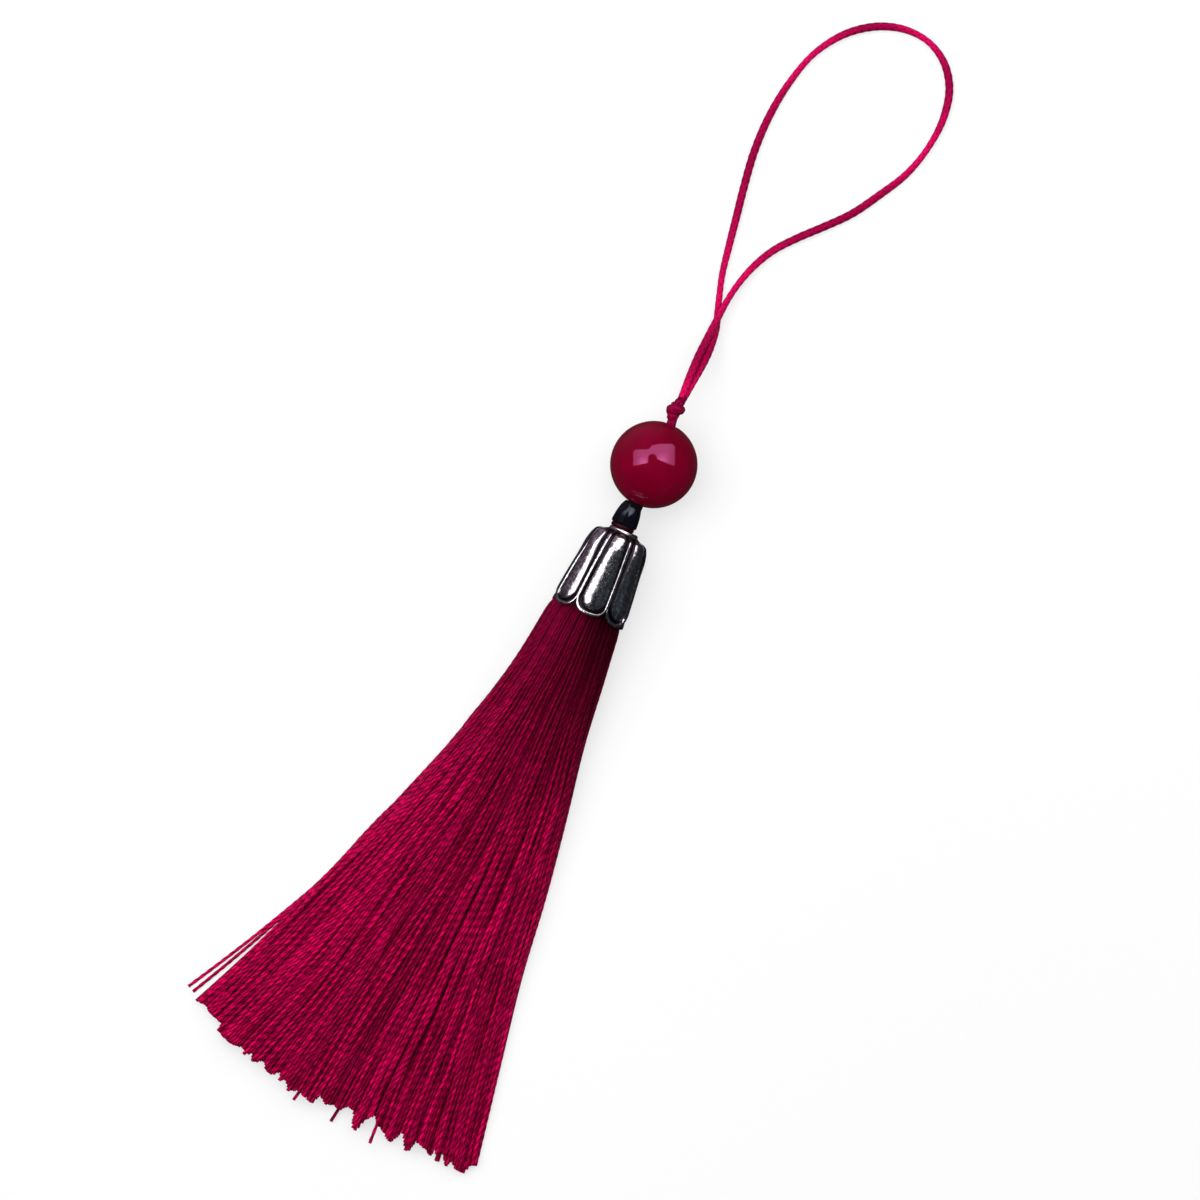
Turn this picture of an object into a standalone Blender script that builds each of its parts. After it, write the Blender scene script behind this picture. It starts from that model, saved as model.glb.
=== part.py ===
"""Knotted cord tassel: hanging loop, knot, two beads, a metal petal cap and a fanned fringe.

The part lies on a flat surface at z = 0. +Y runs along the strung pieces towards the hanging loop,
+X runs across them and +Z is up. The origin is the middle of the flat spot that the red bead rests on.
Sizes are in metres. Distances named "below" are measured from the red bead's centre towards the fringe.
"""
import math
import random

import bmesh
import bpy
import numpy as np
from mathutils import Vector
from mathutils.geometry import delaunay_2d_cdt

MM = 0.001
CLEARANCE = 0.3 * MM

# Cord
CORD_DIAMETER = 1.0 * MM
CORD_POINT_SPACING = 2.2 * MM
STEM_RADIUS = 0.72 * MM
STEM_FLATNESS = 0.18

# Red bead
BEAD_RADIUS = 6.0 * MM
BEAD_FLAT_RADIUS = 1.0 * MM
BORE_RADIUS = STEM_RADIUS + CLEARANCE
AXIS_HEIGHT = math.sqrt(BEAD_RADIUS**2 - BEAD_FLAT_RADIUS**2)
BEAD_END = math.sqrt(BEAD_RADIUS**2 - BORE_RADIUS**2)
BEAD_ROWS = 24
BEAD_COLUMNS = 40

# Small bead, whose hole is a little off its middle
SMALL_BEAD_RADIUS = 1.85 * MM
SMALL_BEAD_HALF_LENGTH = 1.3 * MM
SMALL_BEAD_END_RADIUS = 1.38 * MM
SMALL_BEAD_SHIFT = -0.3 * MM
SMALL_COLUMNS = 24
SMALL_BEAD_BELOW = BEAD_END + CLEARANCE + SMALL_BEAD_HALF_LENGTH

# Ring between the small bead and the cap
RING_RADIUS = 1.75 * MM
RING_THICKNESS = 0.45 * MM
RING_BELOW = SMALL_BEAD_BELOW + SMALL_BEAD_HALF_LENGTH + CLEARANCE + RING_THICKNESS / 2

# Petal cap
CAP_TOP_BELOW = RING_BELOW + RING_THICKNESS / 2 + CLEARANCE
PETALS = 7
COLUMNS_PER_PETAL = 10
PETAL_PUFF = 0.32 * MM
PETAL_RIM = 0.2 * MM
PETAL_NOTCH_DEPTH = 11.6 * MM
PETAL_TIP_LENGTH = 1.15 * MM
PETAL_START_DEPTH = 1.1 * MM
PETAL_STEPS = (0.06, 0.14, 0.35, 0.6, 0.8, 0.88, 0.94, 1.0)
LOBE_HALF_WIDTH = 0.8
LOBE_END_FADE = 0.14
RIM_LENGTH = 0.07
SHOULDER_FADE = 0.12
# Outer radius between the petals' swellings: (depth under the collar's top, radius), in mm
CAP_OUTSIDE = (
    (0.0, 1.95),
    (0.2, 2.1),
    (0.6, 2.1),
    (0.75, 2.9),
    (1.1, 3.5),
    (1.7, 3.75),
    (2.6, 3.95),
    (5.2, 4.25),
    (8.8, 4.7),
    (11.6, 5.0),
    (12.8, 5.1),
)
CAP_WALL = 0.4 * MM
CAP_CEILING_DEPTH = 1.15 * MM
CAP_INSIDE_DEPTHS = (11.3, 8.8, 5.2, 2.6, 1.9)

# Tassel head and strands
STEM_PAST_CEILING = 0.5 * MM
STEM_END_BELOW = CAP_TOP_BELOW + CAP_CEILING_DEPTH + STEM_PAST_CEILING
HEAD_TOP_BELOW = STEM_END_BELOW + CLEARANCE
ROOTS_BELOW = 20.5 * MM
ROOTS_RADIUS = 3.95 * MM
HEAD_COLUMNS = 48
# Head outline: (how far from its top to the roots, 0 to 1, radius in mm)
HEAD_OUTLINE = (
    (0.0, 1.6),
    (0.1, 2.9),
    (0.35, 3.45),
    (1.0, 4.3),
)
STRANDS = 232
LATTICE_SHIFT = (0.31, 0.17)
STRAND_ROOT_SIZE = 0.24 * MM
STRAND_END_WIDTH = 0.56 * MM
STRAND_END_HEIGHT = 0.28 * MM
STRAND_STATIONS_BELOW = (27.0 * MM, 38.0 * MM, 62.0 * MM)
FULL_STRAND_LENGTH = 79.0 * MM
STRAND_GROWTH_POWER = 1.5
LOOSENING = 1.0
LOOSENING_LENGTH = 20.0 * MM
UNDERSIDE_ON_FLOOR_BELOW = 38.0 * MM
UNDERSIDE_FLAT_BELOW = 52.0 * MM
# Edges of the fan: (below, left edge, right edge), in mm
FAN_EDGES = (
    (20.5, -3.95, 3.95),
    (24.8, -5.2, 5.2),
    (30.3, -6.1, 6.0),
    (38.6, -7.9, 7.0),
    (49.7, -11.1, 9.0),
    (60.7, -14.9, 10.8),
    (71.7, -19.0, 12.2),
    (82.8, -23.3, 14.2),
    (94.0, -28.2, 16.3),
    (102.0, -31.9, 17.8),
)
# Trimmed line of the strand ends: (across, below), in mm
TRIM_LINE = (
    (-30.0, 92.6),
    (-27.5, 93.9),
    (-20.7, 96.5),
    (-10.0, 99.3),
    (0.0, 99.6),
    (10.0, 100.0),
    (15.0, 99.8),
    (17.5, 98.2),
)
RAGGED_EVEN_SIDE = 0.6 * MM
RAGGED_UNEVEN_SIDE = 2.2 * MM
# Strands that end past the others: (across, below), in mm
LONG_STRANDS = (
    (-3.9, 100.7),
    (2.0, 101.1),
)
# Strands that stray from the left edge: (distance outside the edge, below), in mm
STRAY_STRANDS = (
    (2.2, 91.9),
    (1.15, 92.1),
)
STRAY_START_BELOW = 60.0 * MM

# Knot in the doubled cord, in distances along +Y from the red bead's centre
KNOT_START = 6.75 * MM
KNOT_END = 9.5 * MM
KNOT_TOP = 10.2 * MM
KNOT_RADIUS = 1.3 * MM
KNOT_SHIFT = -0.4 * MM
KNOT_TOP_RADIUS = 0.9 * MM
KNOT_TOP_SHIFT = -0.1 * MM
KNOT_RIDGE = 0.17 * MM
KNOT_WRAPS = 1.6
KNOT_COLUMNS = 28

# Hanging loop: (across, along towards the loop, height of the cord's middle), in mm
LOOP_ROUTE = (
    (0.45, 10.5, 5.55),
    (0.6, 12.7, 4.75),
    (0.8, 14.5, 3.85),
    (0.85, 16.4, 2.9),
    (0.7, 18.5, 1.85),
    (0.35, 20.6, 1.0),
    (-0.9, 23.8, 0.55),
    (-2.0, 27.7, 0.5),
    (-2.8, 31.9, 0.5),
    (-3.5, 36.0, 0.5),
    (-4.2, 40.0, 0.5),
    (-4.9, 45.1, 0.5),
    (-5.0, 50.4, 0.5),
    (-4.4, 55.5, 0.5),
    (-2.6, 61.4, 0.5),
    (0.7, 65.8, 0.5),
    (4.2, 68.1, 0.5),
    (7.5, 69.0, 0.5),
    (11.0, 68.7, 0.5),
    (14.0, 67.0, 0.5),
    (16.1, 64.1, 0.5),
    (17.0, 60.5, 0.5),
    (16.8, 55.5, 0.5),
    (15.5, 50.8, 0.5),
    (13.3, 46.7, 0.5),
    (10.8, 42.7, 0.5),
    (8.0, 39.5, 0.5),
    (5.3, 36.6, 0.5),
    (3.0, 33.7, 0.55),
    (1.4, 30.5, 0.75),
    (0.4, 27.5, 1.1),
    (0.0, 24.8, 1.6),
    (-0.1, 22.6, 2.05),
    (-0.3, 20.6, 2.6),
    (-0.5, 18.3, 3.35),
    (-0.7, 16.4, 4.1),
    (-0.75, 14.5, 4.95),
    (-0.7, 12.6, 5.75),
    (-0.6, 10.5, 6.25),
)


def clear_scene():
    for item in list(bpy.data.objects):
        bpy.data.objects.remove(item, do_unlink=True)


def make_material(name, color, roughness, metallic=0.0):
    material = bpy.data.materials.new(name)
    material.use_nodes = True
    shader = material.node_tree.nodes["Principled BSDF"]
    shader.inputs["Base Color"].default_value = (*color, 1.0)
    shader.inputs["Roughness"].default_value = roughness
    shader.inputs["Metallic"].default_value = metallic
    return material


def finish_mesh(bm, name, material, sharp_angle=math.radians(40)):
    """Writes a bmesh to a new smooth-shaded object in the scene."""
    bmesh.ops.recalc_face_normals(bm, faces=bm.faces)
    mesh = bpy.data.meshes.new(name)
    bm.to_mesh(mesh)
    bm.free()
    mesh.shade_smooth()
    mesh.set_sharp_from_angle(angle=sharp_angle)
    mesh.materials.append(material)
    item = bpy.data.objects.new(name, mesh)
    bpy.context.collection.objects.link(item)
    return item


def smooth_table(rows, position):
    """Reads every other column of a table at a position in its first column, on a smooth curve."""
    table = np.array(rows)
    keys = table[:, 0]
    slopes = np.gradient(table[:, 1:], keys, axis=0)
    position = min(max(position, keys[0]), keys[-1])
    row = min(int(np.searchsorted(keys, position, side="right")) - 1, len(keys) - 2)
    gap = keys[row + 1] - keys[row]
    f = (position - keys[row]) / gap
    start = table[row, 1:]
    end = table[row + 1, 1:]
    return (
        (2 * f**3 - 3 * f**2 + 1) * start
        + (f**3 - 2 * f**2 + f) * gap * slopes[row]
        + (3 * f**2 - 2 * f**3) * end
        + (f**3 - f**2) * gap * slopes[row + 1]
    )


def ease(value):
    """Rises smoothly from 0 to 1 as the value goes from 0 to 1."""
    value = min(max(value, 0.0), 1.0)
    return value * value * (3.0 - 2.0 * value)


def add_ring(bm, center, radii):
    """Adds a closed ring of points around the Y axis, one for each radius."""
    ring = []
    for index, radius in enumerate(radii):
        angle = 2 * math.pi * index / len(radii)
        offset = Vector((math.cos(angle) * radius, 0.0, math.sin(angle) * radius))
        ring.append(bm.verts.new(Vector(center) + offset))
    return ring


def bridge(bm, first, second):
    for index in range(len(first)):
        after = (index + 1) % len(first)
        bm.faces.new((first[index], first[after], second[after], second[index]))


def bored_solid(profile, columns, shift=0.0):
    """Turns a profile of (y, radius) about the cord, bored for the cord; the outside may be off the hole."""
    bm = bmesh.new()
    rings = []
    for y, radius in profile:
        rings.append(add_ring(bm, (shift, y, AXIS_HEIGHT), [radius] * columns))
    for y in (profile[-1][0], profile[0][0]):
        rings.append(add_ring(bm, (0.0, y, AXIS_HEIGHT), [BORE_RADIUS] * columns))
    for index, ring in enumerate(rings):
        bridge(bm, ring, rings[(index + 1) % len(rings)])
    return bm


def red_bead(material):
    bm = bmesh.new()
    start = math.asin(BORE_RADIUS / BEAD_RADIUS)
    rings = []
    for row in range(BEAD_ROWS + 1):
        angle = start + (math.pi - 2 * start) * row / BEAD_ROWS
        y = BEAD_RADIUS * math.cos(angle)
        rings.append(add_ring(bm, (0.0, y, AXIS_HEIGHT), [BEAD_RADIUS * math.sin(angle)] * BEAD_COLUMNS))
    for index, ring in enumerate(rings):
        bridge(bm, ring, rings[(index + 1) % len(rings)])
    everything = bm.verts[:] + bm.edges[:] + bm.faces[:]
    cut = bmesh.ops.bisect_plane(
        bm, geom=everything, dist=1e-7, plane_co=(0, 0, 0), plane_no=(0, 0, -1), clear_outer=True
    )
    rim = [part for part in cut["geom_cut"] if isinstance(part, bmesh.types.BMEdge)]
    bmesh.ops.edgeloop_fill(bm, edges=rim)
    return finish_mesh(bm, "red_bead", material)


def small_bead(material):
    rows = 10
    fall = 1 - (SMALL_BEAD_END_RADIUS / SMALL_BEAD_RADIUS) ** 2
    reach = SMALL_BEAD_HALF_LENGTH / math.sqrt(fall)
    profile = []
    for row in range(rows + 1):
        y = SMALL_BEAD_HALF_LENGTH * math.cos(math.pi * row / rows)
        profile.append((y - SMALL_BEAD_BELOW, SMALL_BEAD_RADIUS * math.sqrt(1 - (y / reach) ** 2)))
    bm = bored_solid(profile, SMALL_COLUMNS, SMALL_BEAD_SHIFT)
    return finish_mesh(bm, "small_bead", material)


def neck_ring(material):
    rows = 4
    profile = []
    for row in range(rows + 1):
        angle = math.pi * row / rows
        y = RING_THICKNESS / 2 * math.cos(angle)
        profile.append((y - RING_BELOW, RING_RADIUS - RING_THICKNESS / 2 * (1 - math.sin(angle))))
    bm = bored_solid(profile, SMALL_COLUMNS)
    return finish_mesh(bm, "neck_ring", material)


def petal_relief(across, along):
    """Height of a petal's face over the cap's wall: a puffed middle inside a groove and a raised rim.

    Across runs from -1 to 1 between the petal's sides, along from 0 at the shoulder to 1 at its end.
    """
    lobe_end = ease((1 - along) / LOBE_END_FADE)
    lobe = math.cos(min(abs(across) / LOBE_HALF_WIDTH, 1.0) * math.pi / 2) ** 0.7 * lobe_end
    side_rim = ease((abs(across) - LOBE_HALF_WIDTH) / (1 - LOBE_HALF_WIDTH))
    end_rim = ease(1 - (1 - along) / RIM_LENGTH)
    return ease(along / SHOULDER_FADE) * (PETAL_PUFF * lobe + PETAL_RIM * max(side_rim, end_rim))


def petal_cap(material):
    columns = PETALS * COLUMNS_PER_PETAL
    collar_depths = (0.0, 0.2, 0.6, 0.75, PETAL_START_DEPTH / MM)
    middle = (0.0, -CAP_TOP_BELOW, AXIS_HEIGHT)
    bm = bmesh.new()
    across = []
    petal_end = []
    for column in range(columns):
        part = (column % COLUMNS_PER_PETAL) / COLUMNS_PER_PETAL * 2 - 1
        across.append(part)
        petal_end.append(PETAL_NOTCH_DEPTH + PETAL_TIP_LENGTH * math.sqrt(1 - part * part))

    def ring(depths, radii):
        points = []
        # The first column is a gap between petals, turned so that one petal lies uppermost.
        turn = math.pi / 2 - math.pi / PETALS
        for column in range(columns):
            angle = turn + 2 * math.pi * column / columns
            across_cap = math.cos(angle) * radii[column]
            up_cap = math.sin(angle) * radii[column]
            points.append(bm.verts.new(Vector(middle) + Vector((across_cap, -depths[column], up_cap))))
        return points

    rings = []
    for depth in collar_depths:
        radius = smooth_table(CAP_OUTSIDE, depth)[0] * MM
        rings.append(ring([depth * MM] * columns, [radius] * columns))
    for step in PETAL_STEPS:
        depths = [PETAL_START_DEPTH + (end - PETAL_START_DEPTH) * step for end in petal_end]
        radii = []
        for column, depth in enumerate(depths):
            wall = smooth_table(CAP_OUTSIDE, depth / MM)[0] * MM
            radii.append(wall + petal_relief(across[column], step))
        rings.append(ring(depths, radii))
    lip = [smooth_table(CAP_OUTSIDE, end / MM)[0] * MM - CAP_WALL for end in petal_end]
    rings.append(ring(petal_end, lip))
    for depth in CAP_INSIDE_DEPTHS:
        radius = smooth_table(CAP_OUTSIDE, depth)[0] * MM - CAP_WALL
        rings.append(ring([depth * MM] * columns, [radius] * columns))
    for depth in (CAP_CEILING_DEPTH, 0.0):
        rings.append(ring([depth] * columns, [BORE_RADIUS] * columns))
    for index, points in enumerate(rings):
        bridge(bm, points, rings[(index + 1) % len(rings)])
    return finish_mesh(bm, "petal_cap", material)


def loop_knot(material):
    """The overhand knot and the doubled cord under it, which runs through the beads into the cap."""
    bm = bmesh.new()
    hidden = np.linspace(-STEM_END_BELOW, BEAD_RADIUS, 7)
    shown = np.linspace(BEAD_RADIUS, KNOT_TOP, 17)[1:]
    rings = []
    for y in np.concatenate((hidden, shown)):
        inside = (y - KNOT_START) / (KNOT_END - KNOT_START)
        above = ease((y - KNOT_START) / (KNOT_TOP - KNOT_START))
        bulge = math.sin(math.pi * min(max(inside, 0.0), 1.0)) ** 0.7
        plain = STEM_RADIUS + (KNOT_TOP_RADIUS - STEM_RADIUS) * above
        radii = []
        for column in range(KNOT_COLUMNS):
            angle = 2 * math.pi * column / KNOT_COLUMNS
            pair = 1 - STEM_FLATNESS * (1 - math.cos(2 * angle)) * (1 - bulge)
            wrap = KNOT_RIDGE * math.cos(2 * angle + 2 * math.pi * KNOT_WRAPS * inside) * bulge
            radii.append(plain * pair + (KNOT_RADIUS - plain) * bulge + wrap)
        shift = KNOT_SHIFT * bulge + KNOT_TOP_SHIFT * above
        rings.append(add_ring(bm, (shift, y, AXIS_HEIGHT), radii))
    for first, second in zip(rings, rings[1:]):
        bridge(bm, first, second)
    bm.faces.new(rings[0])
    bm.faces.new(rings[-1])
    return finish_mesh(bm, "loop_knot", material)


def strand_places():
    """Places of the strands in a unit disc, on the golden lattice.

    Its points stay apart however far the disc is drawn out sideways and pressed flat, so every strand
    keeps its own way from the round head to the flat fan.
    """
    golden = (1 + math.sqrt(5)) / 2
    pitch = math.sqrt(math.pi / (math.sqrt(5) * STRANDS))
    places = []
    reach = int(3 / pitch)
    for i in range(-reach, reach + 1):
        for j in range(-reach, reach + 1):
            across = pitch * (i + j * golden + LATTICE_SHIFT[0])
            up = pitch * (i - j / golden + LATTICE_SHIFT[1])
            if math.hypot(across, up) <= 1.0:
                places.append((across, up))
    places.sort()
    return places


class Fan:
    """The shape that the skirt of strands takes from the head to the trimmed ends."""

    def __init__(self, places):
        self.widest = max(abs(across) for across, up in places)
        self.lowest = min(up + self.belly(across) for across, up in places)

    @staticmethod
    def belly(across):
        return math.sqrt(max(1 - across * across, 0.0))

    def size(self, below):
        """Middle, half width, half height and strand width and height at a section."""
        left, right = smooth_table(FAN_EDGES, below / MM) * MM
        half_width = (right - left) / 2
        loose = 1 + LOOSENING * (1 - math.exp(-(below - ROOTS_BELOW) / LOOSENING_LENGTH))
        half_height = ROOTS_RADIUS**2 / half_width * loose
        growth = min((below - ROOTS_BELOW) / FULL_STRAND_LENGTH, 1.0) ** STRAND_GROWTH_POWER
        width = STRAND_ROOT_SIZE + (STRAND_END_WIDTH - STRAND_ROOT_SIZE) * growth
        height = STRAND_ROOT_SIZE + (STRAND_END_HEIGHT - STRAND_ROOT_SIZE) * growth
        return (left + right) / 2, half_width, half_height, width, height

    def point(self, place, below):
        """Middle of a strand where it passes a section."""
        across, up = place
        middle, half_width, half_height, width, height = self.size(below)
        landed = ease((below - ROOTS_BELOW) / (UNDERSIDE_ON_FLOOR_BELOW - ROOTS_BELOW))
        flat = ease((below - ROOTS_BELOW) / (UNDERSIDE_FLAT_BELOW - ROOTS_BELOW))
        underside = (AXIS_HEIGHT - ROOTS_RADIUS) * (1 - landed) + height / 2 * landed
        rise = up + 1 + flat * (self.belly(across) - 1 - self.lowest)
        x = middle + half_width * across / self.widest ** ease(flat * 2)
        return Vector((x, -below, underside + half_height * rise))


def strand_ends(fan, places):
    """How far below the bead each strand ends, with ragged and long strands among them."""
    dice = random.Random(20)
    ends = []
    for place in places:
        x = fan.point(place, TRIM_LINE[4][1] * MM).x
        trim = smooth_table(TRIM_LINE, x / MM)[0] * MM
        uneven = ease((x / MM + 14) / 14)
        ragged = RAGGED_EVEN_SIDE + (RAGGED_UNEVEN_SIDE - RAGGED_EVEN_SIDE) * uneven
        ends.append(trim - ragged * dice.random() ** 1.6)
    for across, below in LONG_STRANDS:
        xs = [abs(fan.point(place, below * MM).x - across * MM) for place in places]
        ends[xs.index(min(xs))] = below * MM
    for index, (outside, below) in enumerate(STRAY_STRANDS):
        ends[index] = below * MM
    return ends


def strand_path(fan, index, place, end):
    """Middle, width and height of a strand at each of its stations, from its root to its end."""
    path = []
    for below in (ROOTS_BELOW, *STRAND_STATIONS_BELOW, end):
        middle, half_width, half_height, width, height = fan.size(below)
        center = fan.point(place, below)
        if index < len(STRAY_STRANDS):
            stray = max(below - STRAY_START_BELOW, 0.0) / (end - STRAY_START_BELOW)
            stray_x = middle - half_width - STRAY_STRANDS[index][0] * MM
            center.x += (stray_x - center.x) * stray
            center.z += (height / 2 - center.z) * stray
        path.append((center, width, height))
    return path


def strand_corners(center, width, height):
    sides = ((0.5, 0.5), (-0.5, 0.5), (-0.5, -0.5), (0.5, -0.5))
    return [center + Vector((across * width, 0, up * height)) for across, up in sides]


def tassel(material):
    """The tied head and its strands in one solid; the strands meet only at their roots in the head."""
    places = strand_places()
    fan = Fan(places)
    ends = strand_ends(fan, places)
    bm = bmesh.new()

    rings = []
    for along, radius in HEAD_OUTLINE:
        below = HEAD_TOP_BELOW + (ROOTS_BELOW - HEAD_TOP_BELOW) * along
        rings.append(add_ring(bm, (0.0, -below, AXIS_HEIGHT), [radius * MM] * HEAD_COLUMNS))
    for first, second in zip(rings, rings[1:]):
        bridge(bm, first, second)
    bm.faces.new(rings[0])

    root_verts = []
    for index, (place, end) in enumerate(zip(places, ends)):
        previous = None
        for center, width, height in strand_path(fan, index, place, end):
            corners = [bm.verts.new(corner) for corner in strand_corners(center, width, height)]
            if previous is None:
                root_verts.extend(corners)
            else:
                bridge(bm, previous, corners)
            previous = corners
        bm.faces.new(previous)

    root_plane = rings[-1] + root_verts
    flat_points = [Vector((vert.co.x, vert.co.z)) for vert in root_plane]
    outline = [(index, (index + 1) % HEAD_COLUMNS) for index in range(HEAD_COLUMNS)]
    root_edges = []
    for first in range(HEAD_COLUMNS, len(root_plane), 4):
        root_edges.extend((first + side, first + (side + 1) % 4) for side in range(4))
    points, edges, faces, point_from, edge_from, face_from = delaunay_2d_cdt(
        flat_points, outline + root_edges, [], 0, 1e-9
    )
    for face in faces:
        corners = [point_from[index][0] for index in face]
        roots = {(corner - HEAD_COLUMNS) // 4 for corner in corners}
        inside_root = len(roots) == 1 and min(corners) >= HEAD_COLUMNS
        if not inside_root:
            bm.faces.new([root_plane[corner] for corner in corners])
    return finish_mesh(bm, "tassel", material)


def smooth_route(points, spacing):
    """Reads evenly spaced points from a smooth curve through the route's own points."""
    route = np.array(points)
    steps = np.linalg.norm(np.diff(route, axis=0), axis=1)
    at = np.concatenate(([0.0], np.cumsum(steps)))
    rows = np.column_stack((at, route))
    fine = np.array([smooth_table(rows, place) for place in np.linspace(0, at[-1], 1200)])
    lengths = np.concatenate(([0.0], np.cumsum(np.linalg.norm(np.diff(fine, axis=0), axis=1))))
    count = round(lengths[-1] / spacing)
    wanted = np.linspace(0, lengths[-1], count + 1)
    return np.column_stack([np.interp(wanted, lengths, fine[:, axis]) for axis in range(3)])


def hanging_loop(material):
    route = smooth_route(np.array(LOOP_ROUTE) * MM, CORD_POINT_SPACING)
    curve = bpy.data.curves.new("hanging_loop", "CURVE")
    curve.dimensions = "3D"
    curve.bevel_depth = CORD_DIAMETER / 2
    curve.bevel_resolution = 2
    curve.use_fill_caps = True
    spline = curve.splines.new("POLY")
    spline.points.add(len(route) - 1)
    for point, place in zip(spline.points, route):
        point.co = (*place, 1.0)
    curve.materials.append(material)
    item = bpy.data.objects.new("hanging_loop", curve)
    bpy.context.collection.objects.link(item)
    return item


def main():
    clear_scene()
    crimson_cord = make_material("crimson_cord", (0.42, 0.0, 0.05), 0.45)
    crimson_thread = make_material("crimson_thread", (0.36, 0.0, 0.05), 0.4)
    red_gloss = make_material("red_gloss", (0.16, 0.0, 0.015), 0.12)
    black_gloss = make_material("black_gloss", (0.004, 0.004, 0.006), 0.08)
    maroon = make_material("maroon", (0.06, 0.0, 0.01), 0.35)
    antique_silver = make_material("antique_silver", (0.72, 0.71, 0.73), 0.22, 1.0)
    hanging_loop(crimson_cord)
    loop_knot(crimson_cord)
    red_bead(red_gloss)
    small_bead(black_gloss)
    neck_ring(maroon)
    petal_cap(antique_silver)
    tassel(crimson_thread)


main()
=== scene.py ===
"""Looks of the knotted cord tassel: braided loop and knot, glossy beads, petal cap and satin threads.

Lengths are in metres, and tables marked "in mm" are in millimetres. The part lies on the floor at z = 0,
+Y runs towards the hanging loop and the red bead's middle is over the origin. "Below" is the distance
from the red bead's middle towards the fringe, along -Y.
"""

import math

import bpy
import numpy as np
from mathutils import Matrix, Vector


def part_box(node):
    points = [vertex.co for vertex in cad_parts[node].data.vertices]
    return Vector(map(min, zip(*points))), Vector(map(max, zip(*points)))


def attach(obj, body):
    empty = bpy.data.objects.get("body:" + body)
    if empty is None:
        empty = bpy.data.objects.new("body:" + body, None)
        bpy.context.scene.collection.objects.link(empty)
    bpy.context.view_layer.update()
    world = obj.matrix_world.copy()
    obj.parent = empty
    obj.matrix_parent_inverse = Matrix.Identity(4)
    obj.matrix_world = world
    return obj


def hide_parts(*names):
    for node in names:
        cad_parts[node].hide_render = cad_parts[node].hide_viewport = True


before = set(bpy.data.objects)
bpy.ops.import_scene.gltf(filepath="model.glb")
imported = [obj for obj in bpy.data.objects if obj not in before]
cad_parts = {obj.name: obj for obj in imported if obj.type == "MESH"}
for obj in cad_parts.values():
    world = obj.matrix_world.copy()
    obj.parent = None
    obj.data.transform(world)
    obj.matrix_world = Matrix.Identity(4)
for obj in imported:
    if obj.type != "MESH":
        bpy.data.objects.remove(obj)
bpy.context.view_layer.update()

MM = 0.001

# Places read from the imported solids
BEAD_LOW, BEAD_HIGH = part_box("red_bead")
BEAD_RADIUS = (BEAD_HIGH.x - BEAD_LOW.x) / 2
AXIS_HEIGHT = BEAD_HIGH.z - BEAD_RADIUS
SMALL_LOW, SMALL_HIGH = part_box("small_bead")
RING_LOW, RING_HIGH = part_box("neck_ring")
CAP_TOP_BELOW = -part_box("petal_cap")[1].y

# Picture: the photo is square, looked at from straight above and turned about the upright
PICTURE_WIDTH = 165.5 * MM
PICTURE_MIDDLE = (0.81 * MM, -19.96 * MM)
PICTURE_TURN = math.radians(24)
CAMERA_HEIGHT = 1.0

# Light: places on the bead are in shares of its radius, as the picture shows them.
WINDOW_DISTANCE = 0.5
WINDOW_GLOW = 4.1
# Edges of the window as the bead shows it: (right of the bead's middle, up from it)
WINDOW_TOP = (
    (-0.47, 0.28), (-0.43, 0.33), (-0.12, 0.34), (-0.05, 0.42), (0.12, 0.46), (0.42, 0.46), (0.47, 0.4),
)
WINDOW_FOOT = ((-0.47, -0.035), (-0.14, 0.03), (0.07, 0.12), (0.47, -0.05))
# The round notch in the window's lower edge: its middle and its radius
NOTCH_MIDDLE = (-0.033, 0.133)
NOTCH_RADIUS = 0.103
# Two spots of the window glow more, and its sides are dimmer: (share lost, start of that, its width)
WINDOW_BRIGHTEST = ((-0.24, 0.03), (0.19, 0.09))
SPOT_GAIN = 1.1
SPOT_AREA = 0.012
WINDOW_DIMMING = (0.45, 0.25, 0.3)
# Soft lights: (picture right, picture up, height), power
KEY_LIGHT = ((-0.30, 0.18, 0.93), 9.8)
FILL_LIGHT = ((0.40, 0.25, 0.85), 3.8)
LIGHT_DISTANCE = 0.8
LIGHT_SIZE = 0.9
# The room: its bright side and its tones as (place from the dark side to the bright one, colour)
ROOM_BRIGHT_SIDE = (-0.4, 0.9, 0.1)
ROOM_TONES = (
    (0.0, (0.016, 0.018, 0.022)),
    (0.78, (0.05, 0.045, 0.055)),
    (0.97, (0.25, 0.175, 0.24)),
)
# The dark card: its height over a place on the cap, and its corners as (picture right, picture up) from there
# in shares of that height
DARK_CARD_BELOW_CAP_TOP = 6.0 * MM
DARK_CARD_HEIGHT = 30.0 * MM
DARK_CARD_CORNERS = ((-0.08, 0.42), (3.0, 0.42), (3.0, -2.5), (-0.2, -2.5))
DARK_CARD_COLOR = (0.03, 0.038, 0.046)
# The strip to the right of the cap, in mm: its x, its lowest and highest edges, its ends below the bead
BLUE_STRIP_X = 30.0
BLUE_STRIP_HEIGHTS = (14.0, 22.0)
BLUE_STRIP_ENDS = (36.0, 12.0)
BLUE_STRIP_GLOW = (0.05, 0.095, 0.12)
BLACK = (0.0, 0.0, 0.0)
WHITE = (1.0, 1.0, 1.0)
SENSOR = 36.0
FLOOR_HALF_SIDE = 6.0

# Cord
CORD_DIAMETER = 1.0 * MM
CORD_SIDES = 24
CORD_STEP = 0.12 * MM
BRAID_LOBES = 4
BRAID_PITCH = 1.1 * MM
BRAID_RELIEF = 0.045
FLATNESS = 0.13
FLAT_TURN = 23.0 * MM
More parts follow.
